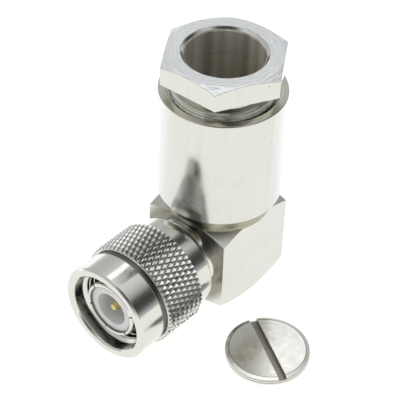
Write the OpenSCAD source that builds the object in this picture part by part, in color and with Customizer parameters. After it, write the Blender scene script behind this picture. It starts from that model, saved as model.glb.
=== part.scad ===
// Right-angle screw-on coaxial plug for a 10 mm cable, with its access cap lying beside it.
// The base flat lies on z = 0 under the barrel axis, the cable leaves along +Z
// and the plug faces along -Y. Sizes are in millimetres.

/* [Elbow block] */
// Width of the square block across its flats
block_w = 13.8; // [13:0.1:14.6]
// Height of the plug axis above the base flat
axis_h = 8.15; // [8.05:0.05:8.6]
// Radius of the flat that the block stands on
base_flat_r = 5.5; // [4.5:0.1:6.2]
// Height of the block at the foot of the neck
block_h = 14.2; // [14:0.05:15]
// Fall of the turned shoulders for each millimetre outwards
shoulder_fall = 0.48; // [0.35:0.01:0.6]
// Radius of the neck under the barrel
neck_r = 7.5; // [7:0.1:7.8]
// Length of the neck under the barrel
neck_h = 2.55; // [1.5:0.05:3.5]

/* [Barrel] */
// Wall of the barrel around the clamp thread
barrel_wall = 1.6; // [1.2:0.05:2.2]
// Length of the barrel from its foot to its rim
barrel_h = 16.9; // [15.5:0.1:19]
// Edge chamfer of the rim
rim_chamfer = 0.1; // [0.05:0.05:0.4]
// Depth of the clamp thread in the barrel
thread_depth = 12.5; // [11.8:0.1:13.1]
// Depth of the lead-in chamfer of the thread
mouth_chamfer = 0.55; // [0.2:0.05:0.7]
// Radius of the passage from the barrel to the solder chamber
passage_r = 3.8; // [3.2:0.1:4.1]
// Depth of the seat for the spigot of the braid clamp
clamp_seat_depth = 2.4; // [1.5:0.1:3]
// Wall of the spigot under the braid clamp
clamp_spigot_wall = 1.2; // [0.8:0.05:1.4]
// Step inwards from the cable passage to the hole of the braid clamp
braid_step = 0.8; // [0.5:0.05:1]

/* [Clamp nut] */
// Width of the hexagon across its flats
hex_af = 15.7; // [15.2:0.1:17]
// Height of the hexagon
hex_h = 3.15; // [2.5:0.05:4.5]
// Gap between the barrel rim and the hexagon as it is screwed in now
nut_gap = 2.55; // [2.45:0.05:3.2]
// Height of the clamp thread over the neck of the nut
clamp_thread_h = 0.3; // [0.2:0.05:0.7]
// Length of the threaded end of the nut
clamp_thread_l = 5.9; // [5.4:0.1:6.2]
// Wall of the nut around the thrust sleeve, at its plain neck
nut_wall = 0.82; // [0.5:0.01:0.9]
// Rise of the top chamfer of the hexagon at its corners
hex_corner_drop = 0.6; // [0.3:0.02:1]
// Cable passage radius through the nut, the sleeve and the clamp
cable_r = 5.4; // [4.8:0.05:5.6]
// Width of the chamfer at the cable entry
entry_chamfer = 0.5; // [0.2:0.05:0.8]
// Turning angle of the hexagon as it stands
hex_turn = 2.3; // [0:0.1:30]
// Lift of the clamp nut for each turn
thread_pitch = 1; // [0.75:0.05:1.25]

/* [Cable clamp stack] */
// Wall of the thrust sleeve inside the nut
sleeve_wall = 0.5; // [0.35:0.05:0.6]
// Length of the thrust sleeve
sleeve_l = 8; // [7:0.1:8.5]
// Thickness of the flange of the thrust sleeve
flange_t = 0.75; // [0.5:0.05:1]
// Turns that the nut can still be tightened from its place now
spare_turns = 2.4; // [1:0.1:2.5]
// Height of the rubber cable gasket
gasket_h = 2.8; // [2:0.1:3.2]
// Grip of the rubber cable gasket inside the cable passage
gasket_grip = 0.2; // [0.05:0.05:0.4]
// Depth of the vee where the gasket meets the braid clamp
vee_depth = 0.6; // [0.3:0.05:0.8]

/* [Coupling nut] */
// Radius over the points of the knurl
knurl_r = 7.75; // [7.6:0.05:7.95]
// Length of the knurled band
knurl_l = 6.8; // [6:0.1:7.5]
// Diamonds around the knurl
knurl_around = 60; // [30:1:64]
// Half diamonds along the knurl
knurl_halves = 7; // [5:1:12]
// Depth of the grooves between the diamonds
knurl_depth = 0.3; // [0.1:0.02:0.34]
// Length of the chamfer at each end of the knurl
knurl_chamfer = 0.2; // [0.1:0.05:0.4]
// Radius of the smooth front sleeve
front_r = 7.15; // [6.9:0.05:7.3]
// Length of the smooth front sleeve
front_l = 4.1; // [3:0.1:4.5]
// Width of the groove between the sleeve and the knurl
groove_w = 0.7; // [0.3:0.05:0.8]
// Radius of the smooth rear collar
collar_r = 6.9; // [6.6:0.05:7.1]
// Length of the smooth rear collar
collar_l = 2.95; // [2.5:0.05:3.5]
// Gap between the boss and the back of the nut
nut_back_gap = 0.6; // [0.3:0.05:1]
// Radius of the mouth of the coupling nut
mouth_r = 5.8; // [5.6:0.05:6]
// Depth of the mouth before the thread
mouth_depth = 1.8; // [1:0.1:2.2]
// Inner radius of the coupling thread
coupling_thread_r = 5.3; // [5.1:0.05:5.5]
// Length of the coupling thread
coupling_thread_l = 4.6; // [4:0.1:5]

/* [Plug contacts] */
// Outer radius of the slotted contact
contact_r = 4.15; // [4.1:0.01:4.2]
// Radius of the insulator inside the slotted contact
insulator_r = 3.6; // [3.5:0.05:3.7]
// Length of the slotted contact with its gasket seat
contact_l = 6.3; // [5.8:0.1:6.8]
// Step from the contact up to the seat of the face gasket
gasket_seat_step = 0.45; // [0.3:0.05:0.6]
// Number of slots in the contact
slot_count = 6; // [4:1:8]
// Width of each slot
slot_w = 0.25; // [0.2:0.05:0.6]
// Length of each slot
slot_l = 5; // [3.5:0.1:5]
// Turning angle of the first slot
slot_turn = 17; // [0:1:60]
// Set-back of the contact behind the nut face
contact_setback = 1.1; // [0.5:0.1:2]
// Set-back of the insulator behind the contact edge
insulator_setback = 0.3; // [0.1:0.05:0.8]
// Radius of the socket in the insulator
socket_r = 2.5; // [2.4:0.05:2.6]
// Depth of the socket in the insulator
socket_depth = 5.2; // [4.5:0.1:5.4]
// Diameter of the centre pin
pin_d = 1.35; // [1.3:0.01:1.4]
// Set-back of the pin point behind the contact edge
pin_setback = 0.7; // [0.3:0.05:1.2]
// Radius of the solder post behind the pin
post_r = 1.9; // [1.7:0.05:2.1]
// Width of the solder slot across the post
solder_slot_w = 2.8; // [2.4:0.1:3]

/* [Plug shell] */
// Distance from the boss up to the neck of the block
boss_margin = 0.05; // [0.05:0.05:0.8]
// Thickness of the boss on the face of the block
boss_t = 1.5; // [1:0.1:1.8]
// Radius of the journal that the coupling nut turns on
journal_r = 5; // [4.8:0.05:5.1]
// Radius of the spigot pressed into the block
spigot_r = 4.55; // [4.4:0.05:4.7]
// Depth of the spigot in the block
spigot_l = 3.5; // [2.5:0.1:3.8]
// Thickness of the retaining ring
ring_t = 0.7; // [0.5:0.05:0.8]
// Depth of the ring groove in the journal
ring_groove = 0.6; // [0.4:0.05:0.7]
// Thickness of the face gasket
face_gasket_t = 1.1; // [0.8:0.1:1.3]

/* [Access cap] */
// Outer radius of the cap thread
cap_r = 5.9; // [5.3:0.05:5.95]
// Thickness of the cap
cap_t = 1.3; // [1:0.05:1.7]
// Width of the chamfer around the top of the cap
cap_chamfer_w = 0.5; // [0.2:0.05:0.7]
// Fall of the chamfer around the top of the cap
cap_chamfer_h = 0.2; // [0.1:0.05:0.4]
// Width of the screwdriver slot
cap_slot_w = 1.1; // [0.8:0.05:1.5]
// Depth of the screwdriver slot
cap_slot_depth = 0.65; // [0.4:0.05:0.8]
// Sideways place of the cap from the barrel axis
cap_x = 16.5; // [15:0.05:20]
// Forward place of the cap from the barrel axis
cap_y = -8.15; // [-12:0.05:-6]
// Direction of the screwdriver slot
cap_turn = -30; // [-90:1:90]

/* [Fits] */
// Radial clearance of the clamp thread
clamp_clear = 0.08; // [0.05:0.01:0.1]
// Radial clearance of the coupling nut on its journal
journal_clear = 0.06; // [0.04:0.01:0.1]
// Clearance of pieces pressed or seated together
seat_clear = 0.02; // [0.01:0.01:0.04]
// Clearance of loosely stacked rings in the barrel
stack_clear = 0.12; // [0.08:0.01:0.15]

/* [Hidden] */
$fn = 96;
eps = 0.01;
half_w = block_w / 2;
foot_z = block_h + neck_h;
rim_z = foot_z + barrel_h;
sleeve_r = cable_r + sleeve_wall;
recess_r = sleeve_r + clamp_clear;
nut_neck_r = recess_r + nut_wall;
clamp_thread_r = nut_neck_r + clamp_thread_h;
bore_r = clamp_thread_r + clamp_clear;
barrel_r = bore_r + barrel_wall;
braid_hole_r = cable_r - braid_step;
clamp_spigot_r = braid_hole_r + clamp_spigot_wall;
thread_floor_z = rim_z - thread_depth;
clamp_floor_z = thread_floor_z - clamp_seat_depth;
corner_r = half_w * sqrt(2) + 0.2;

// Nickel, brass, white insulator and red rubber, as seen in the finished plug.
nickel = [0.78, 0.77, 0.74];
bright_nickel = [0.84, 0.83, 0.8];
gold = [0.85, 0.68, 0.3];
white_resin = [0.92, 0.93, 0.95];
red_rubber = [0.68, 0.16, 0.12];

// Heights of the clamp nut, which is screwed only part of the way in.
hex_z = rim_z + nut_gap;
nut_top_z = hex_z + hex_h;
thread_top_z = rim_z + 0.25;
nut_end_z = thread_top_z - clamp_thread_l;
sleeve_z = nut_end_z - flange_t - eps;
stack_r = bore_r - stack_clear;
gasket_top_z = sleeve_z - spare_turns * thread_pitch - 2 * eps;
gasket_z = gasket_top_z - gasket_h;
hex_r = hex_af / sqrt(3);

// Distances along the plug axis, counted forwards from the barrel axis.
boss_a = half_w + boss_t;
boss_r = block_h - axis_h - boss_margin;
nut_a = boss_a + nut_back_gap;
knurl_a = nut_a + collar_l;
groove_a = knurl_a + knurl_l;
sleeve_a = groove_a + groove_w;
face_a = sleeve_a + front_l;
contact_a = face_a - contact_setback;
seat_a = contact_a - contact_l;
thread_front_a = face_a - mouth_depth;
thread_back_a = thread_front_a - coupling_thread_l;
gasket_seat_r = contact_r + gasket_seat_step;
contact_foot_a = seat_a + face_gasket_t + 0.15;
ring_a = knurl_a + 0.95;
ring_in_r = journal_r - ring_groove + 0.05;
ring_out_r = journal_r + 0.75;
journal_bore_r = journal_r + journal_clear;
knurl_band_r = knurl_r - knurl_depth - 0.04;
shell_bore_r = insulator_r + seat_clear;
socket_a = contact_a - insulator_setback - socket_depth;
pin_a = contact_a - pin_setback;
pin_r = pin_d / 2;
shell_back_a = half_w - spigot_l;
cap_seat_y = half_w - cap_t - 0.5;
chamber_r = 4.2;

// Stands a profile drawn as radius and forward distance on the plug axis.
module on_plug_axis() {
    translate([0, 0, axis_h]) rotate([90, 0, 0]) children();
}

// A plain hole along the plug axis between two forward distances.
module plug_bore(r, from_a, to_a) {
    on_plug_axis() translate([0, 0, from_a]) cylinder(r = r, h = to_a - from_a);
}

// Blank as it leaves the lathe: cones under and over the later block, neck and barrel.
module turned_blank() {
    bottom_rise = (corner_r - base_flat_r) * shoulder_fall;
    top_fall = (corner_r - neck_r) * shoulder_fall;
    rotate_extrude()
        polygon([[0, 0], [base_flat_r, 0], [corner_r, bottom_rise],
                 [corner_r, block_h - top_fall], [neck_r, block_h], [neck_r, foot_z],
                 [barrel_r - rim_chamfer, foot_z], [barrel_r, foot_z + rim_chamfer],
                 [barrel_r, rim_z - rim_chamfer], [barrel_r - rim_chamfer, rim_z], [0, rim_z]]);
}

// What the mill leaves of the blank: a square below the neck, all of it above.
module milled_space() {
    translate([-half_w, -half_w, -1]) cube([block_w, block_w, block_h + 1]);
    translate([0, 0, block_h]) cylinder(r = barrel_r + neck_r, h = rim_z);
}

// All the bores that are turned from the cable end.
module barrel_inside() {
    rotate_extrude()
        polygon([[0, axis_h], [passage_r, axis_h], [passage_r, clamp_floor_z],
                 [clamp_spigot_r + stack_clear, clamp_floor_z],
                 [clamp_spigot_r + stack_clear, thread_floor_z], [bore_r, thread_floor_z],
                 [bore_r, rim_z - mouth_chamfer], [bore_r + mouth_chamfer, rim_z],
                 [bore_r + mouth_chamfer, rim_z + 1], [0, rim_z + 1]]);
}

// One-piece elbow: barrel, neck and block, with a solder chamber behind the plug.
module body() {
    color(nickel) difference() {
        intersection() {
            turned_blank();
            milled_space();
        }
        barrel_inside();
        plug_bore(spigot_r + seat_clear, shell_back_a, half_w + 1);
        plug_bore(chamber_r, -cap_seat_y, shell_back_a + eps);
        plug_bore(cap_r + clamp_clear, -half_w - 1, -cap_seat_y + eps);
    }
}

// Turned shell pressed into the block, ending in the slotted outer contact.
module interface_shell() {
    lip = 0.15;
    color(bright_nickel) difference() {
        on_plug_axis() rotate_extrude()
            polygon([[shell_bore_r, shell_back_a], [spigot_r, shell_back_a],
                     [spigot_r, half_w], [boss_r, half_w], [boss_r, boss_a - lip],
                     [boss_r - lip, boss_a], [journal_r, boss_a], [journal_r, ring_a],
                     [journal_r - ring_groove, ring_a],
                     [journal_r - ring_groove, ring_a + ring_t + 0.1],
                     [journal_r, ring_a + ring_t + 0.1], [journal_r, seat_a],
                     [gasket_seat_r, seat_a], [gasket_seat_r, contact_foot_a],
                     [contact_r, contact_foot_a], [contact_r, contact_a - lip],
                     [contact_r - lip, contact_a], [shell_bore_r, contact_a]]);
        for (i = [0 : slot_count - 1])
            on_plug_axis() rotate([0, 0, slot_turn + i * 360 / slot_count])
                translate([0, -slot_w / 2, contact_a - slot_l])
                    cube([contact_r + 1, slot_w, slot_l + 1]);
    }
}

// Diamond knurl, as rows of points around the nut. A point is the tip of a diamond where
// its row and column add up to an even number, and otherwise a crossing of two grooves.
// The first and the last row are sunk into the band that carries the knurl.
module diamond_knurl() {
    sunk = 0.05;
    columns = 2 * knurl_around;
    last = knurl_halves + 2;
    first_a = knurl_a + knurl_chamfer;
    step_a = (knurl_l - 2 * knurl_chamfer) / (last - 2);
    function row_a(row) = row == 0 ? knurl_a + sunk
        : row == last ? groove_a - sunk : first_a + (row - 1) * step_a;
    function point_r(row, column) = row == 0 || row == last ? knurl_band_r - sunk
        : (row + column) % 2 == 0 ? knurl_r : knurl_r - knurl_depth;
    function at(row, column) = row * columns + (column + columns) % columns;
    points = [for (row = [0 : last], column = [0 : columns - 1])
        let (angle = column * 360 / columns, r = point_r(row, column))
            [r * cos(angle), r * sin(angle), row_a(row)]];
    facets = [for (row = [0 : last], column = [0 : columns - 1], fore = [-1, 1], turn = [-1, 1])
        let (tip = at(row, column), next = at(row + fore, column), side = at(row, column + turn))
            if ((row + column) % 2 == 0 && row + fore >= 0 && row + fore <= last)
                fore * turn > 0 ? [tip, next, side] : [tip, side, next]];
    ends = [[for (column = [0 : columns - 1]) at(0, column)],
            [for (column = [columns - 1 : -1 : 0]) at(last, column)]];
    polyhedron(points, concat(facets, ends));
}

// Outside of the coupling nut: smooth collar, knurled band, groove and front sleeve.
module coupling_nut_outside() {
    edge = 0.3;
    on_plug_axis() diamond_knurl();
    on_plug_axis() rotate_extrude()
        polygon([[0, nut_a], [collar_r - edge, nut_a], [collar_r, nut_a + edge],
                 [collar_r, knurl_a], [knurl_band_r, knurl_a], [knurl_band_r, groove_a],
                 [front_r - edge, groove_a], [front_r - edge, sleeve_a],
                 [front_r, sleeve_a], [front_r, face_a - edge], [front_r - edge, face_a],
                 [0, face_a]]);
}

// Inside of the coupling nut: bearing, ring groove, gasket room, thread and mouth.
module coupling_nut_inside() {
    room_r = mouth_r + 0.1;
    on_plug_axis() rotate_extrude()
        polygon([[0, nut_a - 1], [journal_bore_r, nut_a - 1], [journal_bore_r, ring_a - 0.15],
                 [ring_out_r + 0.1, ring_a - 0.15], [ring_out_r + 0.1, ring_a + ring_t + 0.25],
                 [journal_bore_r, ring_a + ring_t + 0.25], [journal_bore_r, seat_a - 1.2],
                 [room_r, seat_a - 0.7], [room_r, thread_back_a],
                 [coupling_thread_r, thread_back_a + 0.4],
                 [coupling_thread_r, thread_front_a - 0.4], [mouth_r, thread_front_a],
                 [mouth_r, face_a - 0.25], [mouth_r + 0.25, face_a], [mouth_r + 0.25, face_a + 1],
                 [0, face_a + 1]]);
}

module coupling_nut() {
    color(nickel) difference() {
        coupling_nut_outside();
        coupling_nut_inside();
    }
}

// Split spring ring that keeps the coupling nut on the shell.
module retaining_ring() {
    color(gold) difference() {
        plug_bore(ring_out_r, ring_a + 0.05, ring_a + 0.05 + ring_t);
        plug_bore(ring_in_r, ring_a - 1, ring_a + ring_t + 1);
        on_plug_axis() translate([0, -0.6, ring_a - 1]) cube([ring_out_r + 1, 1.2, ring_t + 2]);
    }
}

// Rubber ring that seals the mated pair, seated on the step behind the contact.
module interface_gasket() {
    color(red_rubber) difference() {
        plug_bore(mouth_r - 0.15, seat_a + eps, seat_a + face_gasket_t);
        plug_bore(gasket_seat_r + seat_clear, seat_a - 1, seat_a + face_gasket_t + 1);
    }
}

// White insulator with the socket that takes the nose of the mating jack.
module front_insulator() {
    color(white_resin) difference() {
        plug_bore(insulator_r, shell_back_a + 0.2, contact_a - insulator_setback);
        plug_bore(socket_r, socket_a, contact_a + 1);
        plug_bore(pin_r + seat_clear, 0, contact_a + 1);
    }
}

// Gold centre contact: pin in front, slotted solder post under the cable passage.
module center_pin() {
    tip = pin_r - 0.22;
    post_back_a = -post_r - 0.3;
    color(gold) difference() {
        on_plug_axis() rotate_extrude()
            polygon([[0, post_back_a], [post_r, post_back_a], [post_r, shell_back_a - 0.1],
                     [pin_r, shell_back_a - 0.1], [pin_r, pin_a - 0.7], [tip, pin_a],
                     [0, pin_a]]);
        translate([-solder_slot_w / 2, -solder_slot_w / 2, axis_h - 0.4])
            cube([solder_slot_w, solder_slot_w, post_r + 1]);
    }
}

// Metal ring that traps the braid, with a spigot in the seat and a vee on top.
module braid_clamp() {
    mid_r = (cable_r + stack_r) / 2;
    color(bright_nickel) rotate_extrude()
        polygon([[braid_hole_r, clamp_floor_z], [clamp_spigot_r, clamp_floor_z],
                 [clamp_spigot_r, thread_floor_z], [stack_r, thread_floor_z],
                 [stack_r, gasket_z], [mid_r, gasket_z - vee_depth], [cable_r, gasket_z],
                 [cable_r, thread_floor_z], [braid_hole_r, thread_floor_z - braid_step]]);
}

// Red rubber gasket that grips the cable jacket.
module cable_gasket() {
    mid_r = (cable_r + stack_r) / 2;
    color(red_rubber) rotate_extrude()
        polygon([[cable_r - gasket_grip, gasket_z + eps], [cable_r, gasket_z + eps],
                 [mid_r, gasket_z + eps - vee_depth], [stack_r, gasket_z + eps],
                 [stack_r, gasket_top_z], [cable_r - gasket_grip, gasket_top_z]]);
}

// Flanged sleeve inside the nut, which keeps the turning nut off the gasket.
module thrust_sleeve() {
    color(bright_nickel) rotate_extrude()
        polygon([[cable_r, sleeve_z], [stack_r, sleeve_z], [stack_r, sleeve_z + flange_t],
                 [sleeve_r, sleeve_z + flange_t], [sleeve_r, sleeve_z + sleeve_l],
                 [cable_r, sleeve_z + sleeve_l]]);
}

// Hexagon with a chamfered top, a plain neck and the threaded end, in one piece.
module clamp_nut() {
    flat_ring_r = hex_af / 2 - 0.1;
    edge = 0.08;
    chamfer_run = hex_r + 0.1 - flat_ring_r;
    recess_top_z = sleeve_z + sleeve_l + 0.05;
    color(nickel) difference() {
        union() {
            intersection() {
                translate([0, 0, hex_z]) rotate([0, 0, hex_turn])
                    cylinder(r = hex_r, h = hex_h, $fn = 6);
                rotate_extrude()
                    polygon([[0, hex_z - 1], [hex_r + 0.1, hex_z - 1],
                             [hex_r + 0.1, nut_top_z - hex_corner_drop * chamfer_run
                              / (hex_r - flat_ring_r)],
                             [flat_ring_r, nut_top_z], [0, nut_top_z]]);
            }
            rotate_extrude()
                polygon([[0, nut_end_z], [clamp_thread_r - 0.4, nut_end_z],
                         [clamp_thread_r, nut_end_z + 0.4], [clamp_thread_r, thread_top_z - edge],
                         [clamp_thread_r - edge, thread_top_z], [nut_neck_r, thread_top_z],
                         [nut_neck_r, hex_z + eps],
                         [0, hex_z + eps]]);
        }
        rotate_extrude()
            polygon([[0, nut_end_z - 1], [recess_r, nut_end_z - 1], [recess_r, recess_top_z],
                     [cable_r, recess_top_z], [cable_r, nut_top_z - entry_chamfer],
                     [cable_r + entry_chamfer, nut_top_z],
                     [cable_r + entry_chamfer, nut_top_z + 1], [0, nut_top_z + 1]]);
    }
}

// Slotted screw cap of the solder chamber, lying beside the plug.
module access_cap() {
    edge = 0.2;
    color(bright_nickel) translate([cap_x, cap_y, 0]) difference() {
        rotate_extrude()
            polygon([[0, 0], [cap_r - edge, 0], [cap_r, edge], [cap_r, cap_t - cap_chamfer_h],
                     [cap_r - cap_chamfer_w, cap_t], [0, cap_t]]);
        rotate([0, 0, cap_turn])
            translate([-cap_r - 1, -cap_slot_w / 2, cap_t - cap_slot_depth])
                cube([2 * cap_r + 2, cap_slot_w, cap_slot_depth + 1]);
    }
}

body();
interface_shell();
coupling_nut();
retaining_ring();
interface_gasket();
front_insulator();
center_pin();
braid_clamp();
cable_gasket();
thrust_sleeve();
clamp_nut();
access_cap();
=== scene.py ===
"""Right-angle coaxial plug with its access cap lying beside it, in metres, in the frame of its solids."""
import bmesh
import bpy
from math import cos, pi, radians, sin
from mathutils import Euler, Matrix, Vector


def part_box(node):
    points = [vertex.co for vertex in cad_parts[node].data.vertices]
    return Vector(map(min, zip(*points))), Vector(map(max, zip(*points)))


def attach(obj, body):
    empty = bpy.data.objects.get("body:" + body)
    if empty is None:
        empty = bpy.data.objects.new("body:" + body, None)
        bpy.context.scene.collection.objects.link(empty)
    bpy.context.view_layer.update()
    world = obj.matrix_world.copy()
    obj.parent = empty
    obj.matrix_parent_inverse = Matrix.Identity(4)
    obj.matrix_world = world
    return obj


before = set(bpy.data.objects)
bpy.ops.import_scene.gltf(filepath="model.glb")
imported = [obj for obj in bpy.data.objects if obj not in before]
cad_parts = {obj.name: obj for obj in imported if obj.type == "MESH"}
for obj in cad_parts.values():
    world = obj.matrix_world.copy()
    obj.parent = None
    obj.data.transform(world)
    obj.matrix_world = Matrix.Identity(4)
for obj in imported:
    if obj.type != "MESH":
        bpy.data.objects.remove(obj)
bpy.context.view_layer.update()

# Camera
# A long lens looks down on the plug's near corner from 41 degrees, as the photograph does.
# Its place was worked out from the outline of the block, the barrel and the two nuts.
camera_data = bpy.data.cameras.new("camera")
camera_data.sensor_width = 36
camera_data.lens = 125.8
camera_data.shift_x = 0.0003
camera_data.shift_y = -0.0021
camera_data.clip_start = 0.01
camera_data.clip_end = 5
camera = bpy.data.objects.new("camera", camera_data)
camera.location = (0.09307, -0.11658, 0.14519)
camera.rotation_euler = Euler((radians(48.549), radians(-1.530), radians(40.957)))
bpy.context.scene.collection.objects.link(camera)
bpy.context.scene.camera = camera

# Studio
# A white table, lit from below as product tables are, so that the plug throws almost no shadow.
# Its near half is a little creamier than its far half, which polished nickel shows.
scene = bpy.context.scene
scene.view_settings.view_transform = "Standard"
scene.view_settings.look = "None"

table_size = 3.0
table_mesh = bpy.data.meshes.new("table_top")
table_bm = bmesh.new()
bmesh.ops.create_grid(table_bm, x_segments=2, y_segments=2, size=table_size / 2)
table_bm.to_mesh(table_mesh)
table_bm.free()
table_top = bpy.data.objects.new("table_top", table_mesh)
bpy.context.scene.collection.objects.link(table_top)


def add_node(tree, kind, label, **values):
    """A node of a tree; a value is an input's name in words joined by underscores, or a property."""
    node = tree.nodes.new(kind)
    node.label = label
    for name, value in values.items():
        socket = node.inputs.get(name.replace("_", " "))
        if socket is None:
            setattr(node, name, value)
        else:
            socket.default_value = value
    return node


def add_ramp(tree, label, stops):
    """A colour ramp from stops of (position, red, green, blue)."""
    node = add_node(tree, "ShaderNodeValToRGB", label)
    ramp = node.color_ramp
    ramp.elements[0].position = stops[0][0]
    ramp.elements[0].color = (*stops[0][1:], 1)
    ramp.elements[1].position = stops[-1][0]
    ramp.elements[1].color = (*stops[-1][1:], 1)
    for stop in stops[1:-1]:
        element = ramp.elements.new(stop[0])
        element.color = (*stop[1:], 1)
    return node


table_material = bpy.data.materials.new("white_table")
table_material.use_nodes = True
table_nodes = table_material.node_tree
table_shader = table_nodes.nodes["Principled BSDF"]
table_shader.inputs["Base Color"].default_value = (0.06, 0.06, 0.06, 1)
table_shader.inputs["Roughness"].default_value = 0.9
table_shader.inputs["Specular IOR Level"].default_value = 0.0
table_shader.inputs["Emission Strength"].default_value = 1.25
table_place = add_node(table_nodes, "ShaderNodeTexCoord", "place on the table")
table_far = add_node(table_nodes, "ShaderNodeVectorMath", "distance to the far left", operation="DOT_PRODUCT")
table_far.inputs[1].default_value = (cos(radians(130)), sin(radians(130)), 0)
table_nodes.links.new(table_place.outputs["Object"], table_far.inputs[0])
table_blend = add_node(table_nodes, "ShaderNodeMapRange", "near half to far half", interpolation_type="SMOOTHSTEP",
                       From_Min=-0.014, From_Max=0.030, To_Min=0, To_Max=1)
table_nodes.links.new(table_far.outputs["Value"], table_blend.inputs["Value"])
table_tone = add_ramp(table_nodes, "cream to cool white", ((0, 0.808, 0.800, 0.780), (0.35, 0.800, 0.802, 0.808), (1, 0.93, 0.95, 0.99)))
table_nodes.links.new(table_blend.outputs[0], table_tone.inputs[0])
table_nodes.links.new(table_tone.outputs[0], table_shader.inputs["Emission Color"])
table_mesh.materials.append(table_material)

# Room
# Pale walls under a white ceiling. A dark panel stands to the right behind the plug, and a bright
# strip light hangs behind it on the left: they make the bands along the polished rings.
room = bpy.data.worlds.new("studio_room")
scene.world = room
room.use_nodes = True
room_nodes = room.node_tree
room_nodes.nodes.clear()
room_direction = add_node(room_nodes, "ShaderNodeTexCoord", "direction of a ray")
room_split = add_node(room_nodes, "ShaderNodeSeparateXYZ", "parts of the direction")
room_nodes.links.new(room_direction.outputs["Generated"], room_split.inputs[0])


def room_ramp(label, stops):
    """A wall's brightness by the ray's elevation in degrees, with a tint of (red, green, blue)."""
    places = [((sin(radians(elevation)) + 1) / 2, level, level * 1.005, level * 1.015) for elevation, level in stops]
    ramp = add_ramp(room_nodes, label, places)
    height = add_node(room_nodes, "ShaderNodeMapRange", "height of a ray", From_Min=-1, From_Max=1, To_Min=0, To_Max=1)
    room_nodes.links.new(room_split.outputs["Z"], height.inputs["Value"])
    room_nodes.links.new(height.outputs[0], ramp.inputs[0])
    return ramp


def room_mask(label, azimuth, elevation, inner, outer):
    """1 within an angle of a direction, falling smoothly to 0 at a wider angle."""
    side = add_node(room_nodes, "ShaderNodeVectorMath", label, operation="DOT_PRODUCT")
    side.inputs[1].default_value = (cos(radians(azimuth)) * cos(radians(elevation)),
                                    sin(radians(azimuth)) * cos(radians(elevation)), sin(radians(elevation)))
    room_nodes.links.new(room_direction.outputs["Generated"], side.inputs[0])
    mask = add_node(room_nodes, "ShaderNodeMapRange", label, interpolation_type="SMOOTHSTEP",
                    From_Min=cos(radians(outer)), From_Max=cos(radians(inner)), To_Min=0, To_Max=1)
    room_nodes.links.new(side.outputs["Value"], mask.inputs["Value"])
    return mask


room_walls = room_ramp("pale walls", ((-30, 0.80), (-6, 0.72), (5, 0.66), (15, 0.55), (35, 0.58), (46, 0.70),
                                      (58, 0.80), (70, 0.98), (80, 1.12)))
room_panel = room_ramp("wall with the dark panel", ((-20, 0.58), (-8, 0.86), (3, 0.47), (13, 0.10), (23, 0.055),
                                                    (33, 0.10), (43, 0.50), (51, 0.66), (62, 0.82), (80, 1.12)))
panel_mask = room_mask("round the dark panel", 30, 20, 26, 58)
strip_mask = room_mask("strip light", 124, 52, 3, 8)
room_mix = add_node(room_nodes, "ShaderNodeMix", "panel in the room", data_type="RGBA")
room_nodes.links.new(panel_mask.outputs[0], room_mix.inputs["Factor"])
room_nodes.links.new(room_walls.outputs[0], room_mix.inputs[6])
room_nodes.links.new(room_panel.outputs[0], room_mix.inputs[7])
room_strip = add_node(room_nodes, "ShaderNodeMix", "strip light in the room", data_type="RGBA")
room_nodes.links.new(strip_mask.outputs[0], room_strip.inputs["Factor"])
room_nodes.links.new(room_mix.outputs[2], room_strip.inputs[6])
room_strip.inputs[7].default_value = (1.5, 1.5, 1.5, 1)
front_mask = room_mask("unlit side behind the camera", -51, 40, 18, 40)
room_front = add_node(room_nodes, "ShaderNodeMix", "unlit side of the room", data_type="RGBA")
room_nodes.links.new(front_mask.outputs[0], room_front.inputs["Factor"])
room_nodes.links.new(room_strip.outputs[2], room_front.inputs[6])
room_front.inputs[7].default_value = (0.07, 0.07, 0.08, 1)
room_background = add_node(room_nodes, "ShaderNodeBackground", "room light", Strength=1.0)
room_nodes.links.new(room_front.outputs[2], room_background.inputs["Color"])
room_output = add_node(room_nodes, "ShaderNodeOutputWorld", "world")
room_nodes.links.new(room_background.outputs[0], room_output.inputs[0])

soft_box_data = bpy.data.lights.new("overhead_box", "AREA")
soft_box_data.shape = "SQUARE"
soft_box_data.size = 0.26
soft_box_data.energy = 0.040
soft_box = bpy.data.objects.new("overhead_box", soft_box_data)
soft_box.location = (-0.02, 0.04, 0.50)
soft_box.rotation_euler = (Vector((0, 0, 0.02)) - soft_box.location).to_track_quat("-Z", "Y").to_euler()
bpy.context.scene.collection.objects.link(soft_box)

# Body
# One brass casting, turned and milled: a square block with blasted shoulders, a neck and a barrel.
# It is polished and nickel-plated. The plating shows fine turning marks, a few pits and stains.
body_axis_height = 0.00815
nickel_tone = (0.758, 0.760, 0.712)


def group_tree(name, inputs, outputs):
    """An empty node group with its sockets; an input is (name, kind, value)."""
    tree = bpy.data.node_groups.new(name, "ShaderNodeTree")
    for socket_name, kind, value in inputs:
        socket = tree.interface.new_socket(name=socket_name, in_out="INPUT", socket_type="NodeSocket" + kind)
        if value is not None:
            socket.default_value = value
    for socket_name, kind in outputs:
        tree.interface.new_socket(name=socket_name, in_out="OUTPUT", socket_type="NodeSocket" + kind)
    return tree, tree.nodes.new("NodeGroupInput"), tree.nodes.new("NodeGroupOutput")


def link_chain(tree, *ends):
    """Links outputs to inputs, given in pairs."""
    for start, end in zip(ends[::2], ends[1::2]):
        tree.links.new(start, end)


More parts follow.
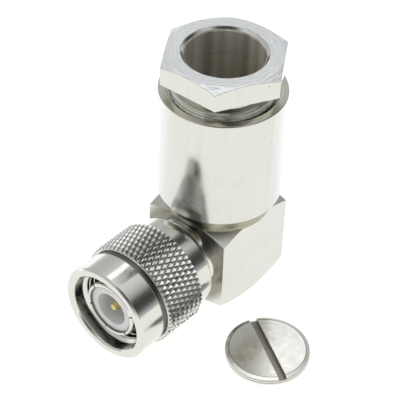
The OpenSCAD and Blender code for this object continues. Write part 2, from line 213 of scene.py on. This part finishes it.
# The fine rings that a lathe tool leaves round the piece's own axis
turning_marks, marks_in, marks_out = group_tree(
    "turning_marks", (("Vector", "Vector", None), ("Lines per Metre", "Float", 4000.0)), (("Height", "Float"),))
marks_split = add_node(turning_marks, "ShaderNodeSeparateXYZ", "across and along the axis")
marks_flat = add_node(turning_marks, "ShaderNodeCombineXYZ", "across only")
marks_radius = add_node(turning_marks, "ShaderNodeVectorMath", "radius", operation="LENGTH")
marks_place = add_node(turning_marks, "ShaderNodeCombineXYZ", "radius and length")
marks_noise = add_node(turning_marks, "ShaderNodeTexNoise", "tool marks", Detail=2.0, Roughness=0.6)
link_chain(turning_marks,
           marks_in.outputs["Vector"], marks_split.inputs[0],
           marks_split.outputs["X"], marks_flat.inputs["X"],
           marks_split.outputs["Y"], marks_flat.inputs["Y"],
           marks_flat.outputs[0], marks_radius.inputs[0],
           marks_radius.outputs["Value"], marks_place.inputs["X"],
           marks_split.outputs["Z"], marks_place.inputs["Z"],
           marks_place.outputs[0], marks_noise.inputs["Vector"],
           marks_in.outputs["Lines per Metre"], marks_noise.inputs["Scale"],
           marks_noise.outputs[0], marks_out.inputs["Height"])

# Pits, faint stains and haze in old plating
plating_age, age_in, age_out = group_tree(
    "plating_age", (("Vector", "Vector", None), ("Stain", "Float", 0.5), ("Pits", "Float", 0.5)),
    (("Mask", "Float"), ("Haze", "Float"), ("Height", "Float")))
age_cloud = add_node(plating_age, "ShaderNodeTexNoise", "stains", Scale=260.0, Detail=4.0, Roughness=0.62)
age_range = add_node(plating_age, "ShaderNodeMapRange", "only the strongest stains",
                     From_Min=0.54, From_Max=0.78, To_Min=0, To_Max=1)
age_stain = add_node(plating_age, "ShaderNodeMath", "strength of the stains", operation="MULTIPLY")
age_haze = add_node(plating_age, "ShaderNodeTexNoise", "haze", Scale=900.0, Detail=3.0, Roughness=0.6)
age_cells = add_node(plating_age, "ShaderNodeTexVoronoi", "places of the pits", Scale=330.0)
age_pit = add_node(plating_age, "ShaderNodeMapRange", "pit", From_Min=0.055, From_Max=0.025, To_Min=0, To_Max=1)
age_pick = add_node(plating_age, "ShaderNodeSeparateXYZ", "a number for each place")
age_few = add_node(plating_age, "ShaderNodeMath", "only some places", operation="GREATER_THAN")
age_few.inputs[1].default_value = 0.72
age_dot = add_node(plating_age, "ShaderNodeMath", "pits there", operation="MULTIPLY")
age_deep = add_node(plating_age, "ShaderNodeMath", "strength of the pits", operation="MULTIPLY")
age_sum = add_node(plating_age, "ShaderNodeMath", "pits and stains", operation="MAXIMUM")
age_down = add_node(plating_age, "ShaderNodeMath", "pits go down", operation="MULTIPLY")
age_down.inputs[1].default_value = -1.0
link_chain(plating_age,
           age_in.outputs["Vector"], age_cloud.inputs["Vector"],
           age_in.outputs["Vector"], age_haze.inputs["Vector"],
           age_in.outputs["Vector"], age_cells.inputs["Vector"],
           age_cloud.outputs[0], age_range.inputs["Value"],
           age_range.outputs[0], age_stain.inputs[0],
           age_in.outputs["Stain"], age_stain.inputs[1],
           age_cells.outputs["Distance"], age_pit.inputs["Value"],
           age_cells.outputs["Color"], age_pick.inputs[0],
           age_pick.outputs["X"], age_few.inputs[0],
           age_pit.outputs[0], age_dot.inputs[0],
           age_few.outputs[0], age_dot.inputs[1],
           age_dot.outputs[0], age_deep.inputs[0],
           age_in.outputs["Pits"], age_deep.inputs[1],
           age_deep.outputs[0], age_sum.inputs[0],
           age_stain.outputs[0], age_sum.inputs[1],
           age_deep.outputs[0], age_down.inputs[0],
           age_sum.outputs[0], age_out.inputs["Mask"],
           age_haze.outputs[0], age_out.inputs["Haze"],
           age_down.outputs[0], age_out.inputs["Height"])


class PlatedFinish:
    """A nickel or gold plate on turned brass, with its nodes kept by name so that a piece can add to it."""

    def __init__(self, name, axis, tone, roughness, lines=4000.0, marks=0.006, stain=0.5, pits=0.5, rounding=0.00008,
                 place=(0, 0, 0), brushed=0.0):
        self.material = bpy.data.materials.new(name)
        self.material.use_nodes = True
        tree = self.tree = self.material.node_tree
        self.shader = tree.nodes["Principled BSDF"]
        self.shader.inputs["Metallic"].default_value = 1.0
        self.shader.inputs["Anisotropic"].default_value = brushed
        round_axis = add_node(tree, "ShaderNodeTangent", "round the axis", direction_type="RADIAL",
                              axis="Y" if axis == "plug" else "Z")
        tree.links.new(round_axis.outputs[0], self.shader.inputs["Tangent"])
        coordinates = add_node(tree, "ShaderNodeTexCoord", "object coordinates")
        self.place = add_node(tree, "ShaderNodeMapping", "axis of the piece")
        if axis == "plug":
            self.place.inputs["Rotation"].default_value = (radians(-90), 0, 0)
            self.place.inputs["Location"].default_value = (0, -body_axis_height, 0)
        else:
            self.place.inputs["Location"].default_value = tuple(-part for part in place)
        self.split = add_node(tree, "ShaderNodeSeparateXYZ", "place on the piece")
        self.marks = add_node(tree, "ShaderNodeGroup", "turning marks", node_tree=turning_marks)
        self.marks.inputs["Lines per Metre"].default_value = lines
        self.age = add_node(tree, "ShaderNodeGroup", "age of the plating", node_tree=plating_age)
        self.age.inputs["Stain"].default_value = stain
        self.age.inputs["Pits"].default_value = pits
        self.colour = add_node(tree, "ShaderNodeMix", "plating and stains", data_type="RGBA")
        self.colour.inputs[6].default_value = (*tone, 1)
        self.colour.inputs[7].default_value = (tone[0] * 0.34, tone[1] * 0.30, tone[2] * 0.26, 1)
        self.gloss = add_node(tree, "ShaderNodeMapRange", "haze in the gloss", From_Min=0.3, From_Max=0.7,
                              To_Min=roughness * 0.75, To_Max=roughness * 1.35)
        self.height = add_node(tree, "ShaderNodeMath", "marks and pits", operation="MULTIPLY_ADD")
        self.height.inputs[1].default_value = marks
        self.edge = add_node(tree, "ShaderNodeBevel", "broken edges", samples=6, Radius=rounding)
        self.bump = add_node(tree, "ShaderNodeBump", "surface relief", Strength=1.0, Distance=0.001)
        self.pit_depth = add_node(tree, "ShaderNodeMath", "depth of the pits", operation="MULTIPLY")
        self.pit_depth.inputs[1].default_value = 0.05
        link_chain(tree,
                   coordinates.outputs["Object"], self.place.inputs["Vector"],
                   self.place.outputs[0], self.split.inputs[0],
                   self.place.outputs[0], self.marks.inputs["Vector"],
                   self.place.outputs[0], self.age.inputs["Vector"],
                   self.age.outputs["Mask"], self.colour.inputs["Factor"],
                   self.colour.outputs[2], self.shader.inputs["Base Color"],
                   self.age.outputs["Haze"], self.gloss.inputs["Value"],
                   self.gloss.outputs[0], self.shader.inputs["Roughness"],
                   self.age.outputs["Height"], self.pit_depth.inputs[0],
                   self.marks.outputs["Height"], self.height.inputs[0],
                   self.pit_depth.outputs[0], self.height.inputs[2],
                   self.height.outputs[0], self.bump.inputs["Height"],
                   self.edge.outputs[0], self.bump.inputs["Normal"],
                   self.bump.outputs[0], self.shader.inputs["Normal"])

    def range_mask(self, label, source, start, end):
        """0 below start and 1 above end, of a value of the surface; the other way round if start is greater."""
        node = add_node(self.tree, "ShaderNodeMapRange", label, interpolation_type="SMOOTHSTEP",
                        From_Min=start, From_Max=end, To_Min=0, To_Max=1)
        self.tree.links.new(source, node.inputs["Value"])
        return node.outputs[0]

    def both(self, label, first, second, operation="MULTIPLY"):
        """Two masks together."""
        node = add_node(self.tree, "ShaderNodeMath", label, operation=operation)
        link_chain(self.tree, first, node.inputs[0], second, node.inputs[1])
        return node.outputs[0]

    def radius(self):
        """The distance from the axis of the piece."""
        flat = add_node(self.tree, "ShaderNodeCombineXYZ", "across the axis")
        length = add_node(self.tree, "ShaderNodeVectorMath", "radius", operation="LENGTH")
        link_chain(self.tree, self.split.outputs["X"], flat.inputs["X"], self.split.outputs["Y"], flat.inputs["Y"],
                   flat.outputs[0], length.inputs[0])
        return length.outputs["Value"]

    def darken(self, label, mask, tone, roughness, metallic=None):
        """Another colour and gloss where a mask is 1."""
        tree = self.tree
        changes = [(self.shader.inputs["Base Color"], (*tone, 1), "RGBA"),
                   (self.shader.inputs["Roughness"], roughness, "FLOAT")]
        if metallic is not None:
            changes.append((self.shader.inputs["Metallic"], metallic, "FLOAT"))
        for socket, value, kind in changes:
            node = add_node(tree, "ShaderNodeMix", label, data_type=kind)
            first, second = (6, 7) if kind == "RGBA" else (2, 3)
            node.inputs[second].default_value = value
            if socket.links:
                tree.links.new(socket.links[0].from_socket, node.inputs[first])
            else:
                node.inputs[first].default_value = socket.default_value
            link_chain(tree, mask, node.inputs["Factor"], node.outputs[2 if kind == "RGBA" else 0], socket)


def finish_node(node_name, material):
    """Gives a solid its material in every slot."""
    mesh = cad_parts[node_name].data
    for index in range(len(mesh.materials)):
        mesh.materials[index] = material


block_half = 0.0069
shoulder_height = 0.0142
body_finish = PlatedFinish("nickel_body", "barrel", nickel_tone, 0.15, lines=5000, marks=0.0010, stain=0.07, pits=1.0,
                           brushed=0.75)
body_up = body_finish.both(
    "shoulder height",
    body_finish.range_mask("above the block's sides", body_finish.split.outputs["Z"], 0.0128, 0.0130),
    body_finish.range_mask("below the neck", body_finish.split.outputs["Z"], 0.0147, 0.0144))
body_reach = add_node(body_finish.tree, "ShaderNodeVectorMath", "how far out", operation="ABSOLUTE")
body_reach_split = add_node(body_finish.tree, "ShaderNodeSeparateXYZ", "out to each side")
link_chain(body_finish.tree, body_finish.place.outputs[0], body_reach.inputs[0],
           body_reach.outputs[0], body_reach_split.inputs[0])
body_inside = body_finish.both("widest reach", body_reach_split.outputs["X"], body_reach_split.outputs["Y"], "MAXIMUM")
body_shoulder = body_finish.both(
    "blasted shoulder", body_up,
    body_finish.range_mask("inside the block's sides", body_inside, block_half - 0.00002, block_half - 0.00008))
body_finish.darken("blasted shoulder", body_shoulder, (0.60, 0.60, 0.56), 0.36)
body_grain = add_node(body_finish.tree, "ShaderNodeTexNoise", "grit of the blasting", Scale=9000.0, Detail=2.0)
body_grit = body_finish.both("grit on the shoulder", body_grain.outputs[0], body_shoulder)
body_grit_depth = add_node(body_finish.tree, "ShaderNodeMath", "depth of the grit", operation="MULTIPLY_ADD")
body_grit_depth.inputs[1].default_value = 0.03
link_chain(body_finish.tree, body_finish.place.outputs[0], body_grain.inputs["Vector"],
           body_grit, body_grit_depth.inputs[0],
           body_finish.height.outputs[0], body_grit_depth.inputs[2],
           body_grit_depth.outputs[0], body_finish.bump.inputs["Height"])
body_stretch = add_node(body_finish.tree, "ShaderNodeMapping", "lines along the cutter's path",
                        Scale=(60, 60, 2600))
body_lines = add_node(body_finish.tree, "ShaderNodeTexNoise", "milled lines", Scale=1.0, Detail=3.0, Roughness=0.65)
body_drag = add_node(body_finish.tree, "ShaderNodeMapping", "streaks down the barrel", Scale=(900, 900, 45))
body_streaks = add_node(body_finish.tree, "ShaderNodeTexNoise", "polishing streaks", Scale=1.0, Detail=4.0)
link_chain(body_finish.tree, body_finish.place.outputs[0], body_stretch.inputs["Vector"],
           body_stretch.outputs[0], body_lines.inputs["Vector"],
           body_finish.place.outputs[0], body_drag.inputs["Vector"],
           body_drag.outputs[0], body_streaks.inputs["Vector"])
body_below = body_finish.range_mask("below the barrel", body_finish.split.outputs["Z"], 0.0152, 0.0148)
body_above = body_finish.range_mask("on the barrel", body_finish.split.outputs["Z"], 0.0164, 0.0168)
body_line_mask = body_finish.both("milled lines on the block", body_below, body_finish.range_mask(
    "dark milled lines", body_lines.outputs[0], 0.42, 0.66))
body_streak_mask = body_finish.both("streaks on the barrel", body_above, body_finish.range_mask(
    "dull streaks", body_streaks.outputs[0], 0.50, 0.72))
body_both_masks = body_finish.both("lines and streaks", body_line_mask, body_streak_mask, "ADD")
body_fade = add_node(body_finish.tree, "ShaderNodeMath", "faint", operation="MULTIPLY")
body_fade.inputs[1].default_value = 0.12
body_finish.tree.links.new(body_both_masks, body_fade.inputs[0])
body_finish.darken("faint lines and streaks", body_fade.outputs[0], (0.60, 0.58, 0.50), 0.20)
# The rim face under the clamp nut is made darker and duller than the barrel.
body_rim = body_finish.both("rim of the barrel",
                            body_finish.range_mask("top face", body_finish.split.outputs["Z"], 0.03350, 0.03362),
                            body_finish.range_mask("outside the thread", body_finish.radius(), 0.00722, 0.00726))
body_finish.darken("darker rim face", body_rim, (0.60, 0.59, 0.51), 0.20)
# Painted shade: the recessed neck under the barrel's overhang is darkened and dulled to stand in for the shade there.
neck_painted_shade = body_finish.both(
    "neck", body_finish.both("height of the neck",
                             body_finish.range_mask("over the shoulder", body_finish.split.outputs["Z"], 0.01405, 0.0142),
                             body_finish.range_mask("under the barrel", body_finish.split.outputs["Z"], 0.01682, 0.01674)),
    body_finish.range_mask("inside the barrel's edge", body_finish.radius(), 0.0086, 0.0080))
body_finish.darken("painted shade in the neck", neck_painted_shade, (0.44, 0.42, 0.34), 0.26)
body_front = body_finish.range_mask("front face of the block", body_finish.split.outputs["Y"], -0.00686, -0.00689)
body_plug_place = add_node(body_finish.tree, "ShaderNodeMapping", "axis of the plug",
                           Location=(0, 0, -body_axis_height), Scale=(1, 0, 1))
body_plug_radius = add_node(body_finish.tree, "ShaderNodeVectorMath", "distance from the plug's axis",
                            operation="LENGTH")
link_chain(body_finish.tree, body_finish.place.outputs[0], body_plug_place.inputs["Vector"],
           body_plug_place.outputs[0], body_plug_radius.inputs[0])
# Painted shade: the block's front face round the boss, behind the coupling nut, is darkened to stand in for the nut's
# shadow and dark reflections.
painted_shade_behind_nut = body_finish.both("behind the coupling nut", body_front, body_finish.range_mask(
    "round the boss", body_plug_radius.outputs["Value"], 0.0087, 0.0070))
body_finish.darken("painted shade behind the nut", painted_shade_behind_nut, (0.32, 0.315, 0.26), 0.24)
finish_node("body", body_finish.material)


# Body's threads
# The barrel's mouth is threaded for the clamp nut, and the port at the back for the access cap.
# Each is one helical ridge, cut by a tap in the casting.
def wind_thread(name, root, crest, pitch, bottom, top, width, axis="barrel", place=(0, 0, 0), steps=36):
    """A helical ridge round an axis, from one height to another, with its ends closed."""
    bm = bmesh.new()
    corners = [bm.verts.new(point) for point in ((root, 0, bottom), (crest, 0, bottom + width * 0.38),
                                                 (crest, 0, bottom + width * 0.62), (root, 0, bottom + width))]
    profile = [bm.edges.new((corners[index], corners[(index + 1) % 4])) for index in range(4)]
    turns = (top - bottom - width) / pitch
    count = max(8, round(turns * steps))
    made = bmesh.ops.spin(bm, geom=corners + profile, cent=(0, 0, 0), axis=(0, 0, 1), angle=turns * 2 * pi,
                          steps=count, dvec=(0, 0, turns * pitch / count))
    last = [edge for edge in made["geom_last"] if isinstance(edge, bmesh.types.BMEdge)]
    bmesh.ops.contextual_create(bm, geom=profile)
    bmesh.ops.contextual_create(bm, geom=last)
    if axis == "plug":
        bmesh.ops.transform(bm, verts=bm.verts, matrix=Matrix.Rotation(radians(90), 4, "X"))
        bmesh.ops.translate(bm, verts=bm.verts, vec=(0, 0, body_axis_height))
    bmesh.ops.translate(bm, verts=bm.verts, vec=place)
    bmesh.ops.recalc_face_normals(bm, faces=bm.faces)
    for face in bm.faces:
        face.smooth = False
    mesh = bpy.data.meshes.new(name)
    bm.to_mesh(mesh)
    bm.free()
    piece = bpy.data.objects.new(name, mesh)
    bpy.context.scene.collection.objects.link(piece)
    return piece


barrel_thread = wind_thread("barrel_thread", 0.00720, 0.00714, 0.001, 0.0222, 0.0331, 0.0006)
barrel_thread.data.materials.append(body_finish.material)
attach(barrel_thread, "elbow")
port_thread = wind_thread("port_thread", 0.00601, 0.00594, 0.0005, -0.00675, -0.00525, 0.00035, axis="plug")
port_thread.data.materials.append(body_finish.material)
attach(port_thread, "elbow")

# Interface shell
# Turned brass, screwed into the block's front. Its outer contact is slit into springy fingers,
# which press into the mating socket. It is plated like the body but is a little brighter.
shell_finish = PlatedFinish("bright_nickel_shell", "plug", (0.79, 0.785, 0.76), 0.11, lines=5000, marks=0.004,
                            stain=0.2, pits=0.2, rounding=0.00006)
shell_radius = shell_finish.radius()
shell_inside = shell_finish.both(
    "inside the contact", shell_finish.range_mask("bore of the contact", shell_radius, 0.00375, 0.00365),
    shell_finish.range_mask("behind the tips", shell_finish.split.outputs["Z"], 0.0236, 0.0230))
shell_finish.darken("shaded bore", shell_inside, (0.30, 0.28, 0.25), 0.30)
finish_node("interface_shell", shell_finish.material)

# Coupling nut
# Turned brass: a smooth rear collar, a band with rolled diamond knurling and a smooth front sleeve.
# Polishing compound and tarnish stay in the knurl's grooves, so only its points are bright.
nut_finish = PlatedFinish("nickel_coupling_nut", "plug", nickel_tone, 0.13, lines=4500, marks=0.001, stain=0.08,
                          pits=0.4, brushed=0.75)
nut_radius = nut_finish.radius()
nut_length = nut_finish.split.outputs["Z"]
nut_finish.shader.inputs["Anisotropic Rotation"].default_value = 0.25
nut_band = nut_finish.both("knurled band", nut_finish.range_mask("behind the band", nut_length, 0.01190, 0.01196),
                           nut_finish.range_mask("before the band", nut_length, 0.01866, 0.01858))
nut_low = nut_finish.range_mask("low in the knurl", nut_radius, 0.00764, 0.00748)
nut_groove = nut_finish.both("grooves of the knurl", nut_band, nut_low)
nut_finish.darken("polished points of the knurl", nut_band, (0.88, 0.88, 0.85), 0.04)
nut_finish.darken("tarnish in the knurl", nut_groove, (0.36, 0.355, 0.335), 0.22)
# Painted shade: the narrow step between the knurl and the front sleeve is darkened to stand in for the shadow in that
# groove.
nut_step_painted_shade = nut_finish.both(
    "step before the knurl",
    nut_finish.both("length of the step", nut_finish.range_mask("after the knurl", nut_length, 0.01872, 0.01878),
                    nut_finish.range_mask("before the sleeve", nut_length, 0.01950, 0.01944)),
    nut_finish.range_mask("bottom of the step", nut_radius, 0.00714, 0.00706))
nut_finish.darken("painted shade in the step", nut_step_painted_shade, (0.20, 0.20, 0.19), 0.30)
nut_rounding = add_node(nut_finish.tree, "ShaderNodeMapRange", "rounder edges beside the knurl",
                        To_Min=0.00018, To_Max=0.00003)
link_chain(nut_finish.tree, nut_band, nut_rounding.inputs["Value"],
           nut_rounding.outputs[0], nut_finish.edge.inputs["Radius"])
nut_grain = add_node(nut_finish.tree, "ShaderNodeTexNoise", "uneven points of the knurl", Scale=3200.0, Detail=2.0)
nut_uneven = nut_finish.both("uneven in the band only", nut_grain.outputs[0], nut_band)
nut_depth = add_node(nut_finish.tree, "ShaderNodeMath", "depth of the unevenness", operation="MULTIPLY_ADD")
nut_depth.inputs[1].default_value = 0.035
link_chain(nut_finish.tree, nut_finish.place.outputs[0], nut_grain.inputs["Vector"],
           nut_uneven, nut_depth.inputs[0], nut_finish.height.outputs[0], nut_depth.inputs[2],
           nut_depth.outputs[0], nut_finish.bump.inputs["Height"])
finish_node("coupling_nut", nut_finish.material)
nut_thread = wind_thread("coupling_nut_thread", 0.00532, 0.00522, 0.0009, 0.01725, 0.02165, 0.0006, axis="plug")
nut_thread.data.materials.append(nut_finish.material)
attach(nut_thread, "coupling_nut")

# Retaining ring
# A split ring of spring bronze, sprung into the groove of the shell's journal.
# It is hidden, and is only seen when the row is taken apart.
ring_finish = PlatedFinish("spring_ring", "plug", (0.62, 0.46, 0.27), 0.30, stain=0.5, pits=0.2)
finish_node("retaining_ring", ring_finish.material)


# Rubber seals
# The flat gasket behind the contact and the thick ring that grips the cable are moulded silicone
# rubber, dull and dark brick red, with a fine grain and a little dust.
def rubber(name, tone, roughness):
    """A moulded rubber with a mottled tone and a fine grain."""
    material = bpy.data.materials.new(name)
    material.use_nodes = True
    tree = material.node_tree
    shader = tree.nodes["Principled BSDF"]
    shader.inputs["Specular IOR Level"].default_value = 0.35
    coordinates = add_node(tree, "ShaderNodeTexCoord", "object coordinates")
    mottle = add_node(tree, "ShaderNodeTexNoise", "mottle", Scale=700.0, Detail=4.0, Roughness=0.6)
    tint = add_ramp(tree, "rubber tones", ((0.3, *[part * 0.7 for part in tone]), (0.7, *tone)))
    gloss = add_node(tree, "ShaderNodeMapRange", "gloss", From_Min=0.3, From_Max=0.7,
                     To_Min=roughness * 0.85, To_Max=min(1.0, roughness * 1.15))
    grain = add_node(tree, "ShaderNodeTexNoise", "grain", Scale=6000.0, Detail=2.0)
    bump = add_node(tree, "ShaderNodeBump", "grain relief", Strength=0.5, Distance=0.00004)
    link_chain(tree, coordinates.outputs["Object"], mottle.inputs["Vector"],
               coordinates.outputs["Object"], grain.inputs["Vector"],
               mottle.outputs[0], tint.inputs[0], tint.outputs[0], shader.inputs["Base Color"],
               mottle.outputs[0], gloss.inputs["Value"], gloss.outputs[0], shader.inputs["Roughness"],
               grain.outputs[0], bump.inputs["Height"], bump.outputs[0], shader.inputs["Normal"])
    return material


red_rubber = rubber("red_rubber_seal", (0.17, 0.045, 0.034), 0.55)
finish_node("cable_gasket", red_rubber)
finish_node("interface_gasket", rubber("red_rubber_face_gasket", (0.035, 0.014, 0.011), 0.66))

# Front insulator
# Turned from white fluoropolymer rod, pressed into the shell. It is slightly translucent and
# bluish white, with faint tool rings and soft edges.
resin = bpy.data.materials.new("white_resin_turned")
resin.use_nodes = True
resin_tree = resin.node_tree
resin_shader = resin_tree.nodes["Principled BSDF"]
resin_shader.inputs["Subsurface Weight"].default_value = 0.6
resin_shader.inputs["Subsurface Radius"].default_value = (0.0012, 0.0012, 0.0013)
resin_shader.inputs["Subsurface Scale"].default_value = 1.0
resin_shader.inputs["Specular IOR Level"].default_value = 0.35
resin_coordinates = add_node(resin_tree, "ShaderNodeTexCoord", "object coordinates")
resin_place = add_node(resin_tree, "ShaderNodeMapping", "axis of the plug", Rotation=(radians(-90), 0, 0),
                       Location=(0, -body_axis_height, 0))
resin_cloud = add_node(resin_tree, "ShaderNodeTexNoise", "cloudiness", Scale=500.0, Detail=3.0)
resin_tint = add_ramp(resin_tree, "resin tones", ((0.3, 0.89, 0.92, 0.95), (0.7, 0.93, 0.95, 0.97)))
resin_gloss = add_node(resin_tree, "ShaderNodeMapRange", "gloss", From_Min=0.3, From_Max=0.7,
                       To_Min=0.38, To_Max=0.50)
resin_marks = add_node(resin_tree, "ShaderNodeGroup", "turning marks", node_tree=turning_marks)
resin_marks.inputs["Lines per Metre"].default_value = 5000
resin_bump = add_node(resin_tree, "ShaderNodeBump", "tool rings", Strength=0.6, Distance=0.000006)
resin_edge = add_node(resin_tree, "ShaderNodeBevel", "soft edges", samples=6, Radius=0.0003)
link_chain(resin_tree, resin_coordinates.outputs["Object"], resin_place.inputs["Vector"],
           resin_place.outputs[0], resin_cloud.inputs["Vector"],
           resin_place.outputs[0], resin_marks.inputs["Vector"],
           resin_cloud.outputs[0], resin_tint.inputs[0], resin_tint.outputs[0], resin_shader.inputs["Base Color"],
           resin_cloud.outputs[0], resin_gloss.inputs["Value"], resin_gloss.outputs[0],
           resin_shader.inputs["Roughness"], resin_marks.outputs["Height"], resin_bump.inputs["Height"],
           resin_edge.outputs[0], resin_bump.inputs["Normal"], resin_bump.outputs[0], resin_shader.inputs["Normal"])
finish_node("front_insulator", resin)

# Centre pin
# Turned brass with hard gold plating, held in the insulator. The cable's conductor is soldered
# into the slot of its rear post.
pin_finish = PlatedFinish("gold_pin", "plug", (0.66, 0.56, 0.22), 0.22, lines=6000, marks=0.004, stain=0.3, pits=0.2,
                          rounding=0.00006)
finish_node("center_pin", pin_finish.material)

# Braid clamp
# A turned brass ring at the foot of the barrel, on which the cable's braid is folded back.
# It is hidden under the cable gasket.
braid_finish = PlatedFinish("nickel_braid_clamp", "barrel", (0.70, 0.68, 0.63), 0.24, stain=0.6, pits=0.3)
finish_node("braid_clamp", braid_finish.material)

# Thrust sleeve
# A thin flanged sleeve of turned brass inside the clamp nut, which presses the gasket without
# turning. Its upper edge is the faint circle in the bore.
sleeve_finish = PlatedFinish("nickel_thrust_sleeve", "barrel", (0.84, 0.82, 0.72), 0.36, lines=3500, marks=0.004,
                             stain=0.10, pits=0.0)
sleeve_finish.shader.inputs["Metallic"].default_value = 0.22

# Clamp nut
# Turned from hexagon bar: six flats with chamfered corners, a faced ring on top, a neck and a
# fine thread below it that screws into the barrel. The thread is one helical ridge.
hex_finish = PlatedFinish("nickel_clamp_nut", "barrel", nickel_tone, 0.09, lines=3000, marks=0.002, stain=0.08,
                          pits=0.6, rounding=0.00017, brushed=0.9)
hex_radius = hex_finish.radius()
hex_bore = hex_finish.range_mask("bore of the nut", hex_radius, 0.00560, 0.00550)
hex_finish.darken("duller bore", hex_bore, (0.84, 0.82, 0.72), 0.36, metallic=0.22)


def painted_reflection_bands(finish, mask):
    """Soft lighter and darker bands down a bore by its angle: painted reflection bands, standing in for the light and
    dark the bore reflects.
    """
    angle = add_node(finish.tree, "ShaderNodeMath", "angle round the bore", operation="ARCTAN2")
    place = add_node(finish.tree, "ShaderNodeCombineXYZ", "bands by angle")
    bands = add_node(finish.tree, "ShaderNodeTexNoise", "painted reflection bands", Scale=2.1, Detail=1.0, Roughness=0.45)
    link_chain(finish.tree, finish.split.outputs["Y"], angle.inputs[0], finish.split.outputs["X"], angle.inputs[1],
               angle.outputs[0], place.inputs["X"], place.outputs[0], bands.inputs["Vector"])
    dark = finish.range_mask("darker bands", bands.outputs[0], 0.38, 0.64)
    if mask is not None:
        dark = finish.both("bands in the bore", dark, mask)
    finish.darken("painted reflection bands", dark, (0.50, 0.475, 0.39), 0.30)


# Painted reflection bands in the bore of the clamp nut.
painted_reflection_bands(hex_finish, hex_bore)
hex_corner_slope = 0.4563
hex_ring_radius = 0.00775
hex_outside = add_node(hex_finish.tree, "ShaderNodeMath", "outside the ring", operation="MAXIMUM")
hex_outside.inputs[1].default_value = hex_ring_radius
hex_skin = add_node(hex_finish.tree, "ShaderNodeMath", "height over the turned top, painted lighter", operation="MULTIPLY_ADD")
hex_skin.inputs[1].default_value = hex_corner_slope
link_chain(hex_finish.tree, hex_radius, hex_outside.inputs[0], hex_outside.outputs[0], hex_skin.inputs[0],
           hex_finish.split.outputs["Z"], hex_skin.inputs[2])
hex_skin_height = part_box("clamp_nut")[1][2] + hex_corner_slope * hex_ring_radius
hex_face = hex_finish.range_mask("faced top", hex_skin.outputs[0], hex_skin_height - 0.00004, hex_skin_height - 0.00001)
# The faced top is turned, with its own roughness and rings; its colour, lighter than the nickel, is a painted highlight
# for the light falling on it from above.
hex_finish.darken("turned top, painted lighter", hex_face, (0.95, 0.97, 0.97), 0.34)
hex_rings = add_node(hex_finish.tree, "ShaderNodeTexNoise", "rings of the facing tool", Scale=4200.0, Detail=3.0)
hex_angle = add_node(hex_finish.tree, "ShaderNodeMath", "angle round the nut", operation="ARCTAN2")
hex_chatter_place = add_node(hex_finish.tree, "ShaderNodeCombineXYZ", "radius and angle")
hex_arc = add_node(hex_finish.tree, "ShaderNodeMath", "length round the nut", operation="MULTIPLY")
hex_arc.inputs[1].default_value = 0.0012
hex_relief = hex_finish.both("rings on the top only", hex_rings.outputs[0], hex_face)
hex_depth = add_node(hex_finish.tree, "ShaderNodeMath", "depth of the rings", operation="MULTIPLY_ADD")
hex_depth.inputs[1].default_value = 0.16
link_chain(hex_finish.tree, hex_finish.split.outputs["Y"], hex_angle.inputs[0],
           hex_finish.split.outputs["X"], hex_angle.inputs[1],
           hex_angle.outputs[0], hex_arc.inputs[0],
           hex_radius, hex_chatter_place.inputs["X"], hex_arc.outputs[0], hex_chatter_place.inputs["Y"],
           hex_chatter_place.outputs[0], hex_rings.inputs["Vector"],
           hex_relief, hex_depth.inputs[0], hex_finish.height.outputs[0], hex_depth.inputs[2],
           hex_depth.outputs[0], hex_finish.bump.inputs["Height"])
finish_node("clamp_nut", hex_finish.material)
# Painted reflection bands in the bore of the thrust sleeve.
painted_reflection_bands(sleeve_finish, None)
finish_node("thrust_sleeve", sleeve_finish.material)
clamp_thread = wind_thread("clamp_nut_thread", 0.00708, 0.00716, 0.001, 0.02810, 0.03388, 0.0007)
clamp_thread.data.materials.append(hex_finish.material)
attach(clamp_thread, "clamp_nut")

# Access cap
# A round screw cap with a straight slot, turned and plated. It closes the port through which the
# pin is soldered, and lies beside the plug as in the photograph.
cap_centre = (0.0165, -0.00815, 0)
cap_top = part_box("access_cap")[1][2]
cap_finish = PlatedFinish("nickel_access_cap", "barrel", (0.82, 0.82, 0.775), 0.19, lines=3200, marks=0.008, stain=0.04, brushed=0.5,
                          pits=0.3, place=cap_centre)
cap_radius = cap_finish.radius()
cap_slot_painted_shade = cap_finish.both(
    "slot", cap_finish.range_mask("below the top", cap_finish.split.outputs["Z"], cap_top - 0.00012, cap_top - 0.0002),
    cap_finish.range_mask("inside the rim", cap_radius, 0.00575, 0.00565))
cap_side = cap_finish.range_mask("side of the cap", cap_radius, 0.00578, 0.00586)
cap_wave = add_node(cap_finish.tree, "ShaderNodeMath", "threads by height", operation="MULTIPLY")
cap_wave.inputs[1].default_value = 2 * pi / 0.00042
cap_crest = add_node(cap_finish.tree, "ShaderNodeMath", "valleys of the thread", operation="SINE")
link_chain(cap_finish.tree, cap_finish.split.outputs["Z"], cap_wave.inputs[0], cap_wave.outputs[0], cap_crest.inputs[0])
cap_valley = cap_finish.both("valleys on the side", cap_side, cap_finish.range_mask(
    "only the valleys", cap_crest.outputs[0], 0.1, 0.8))
cap_finish.darken("shaded valleys", cap_valley, (0.30, 0.29, 0.25), 0.30)
cap_edge = cap_finish.both("edge of the chamfer", cap_finish.range_mask("outside of it", cap_radius, 0.00530, 0.00537),
                           cap_finish.range_mask("inside of it", cap_radius, 0.00550, 0.00543))
cap_finish.darken("line where the chamfer starts", cap_edge, (0.42, 0.40, 0.34), 0.25)
# Painted shade: the slot is darkened and dulled to stand in for the shade inside it.
cap_finish.darken("painted shade in the slot", cap_slot_painted_shade, (0.42, 0.39, 0.34), 0.40)
finish_node("access_cap", cap_finish.material)
cap_thread = wind_thread("access_cap_thread", 0.00586, 0.00592, 0.0005, 0.0001, cap_top - 0.00025, 0.00035,
                         place=cap_centre, steps=72)
cap_thread.data.materials.append(cap_finish.material)
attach(cap_thread, "elbow")
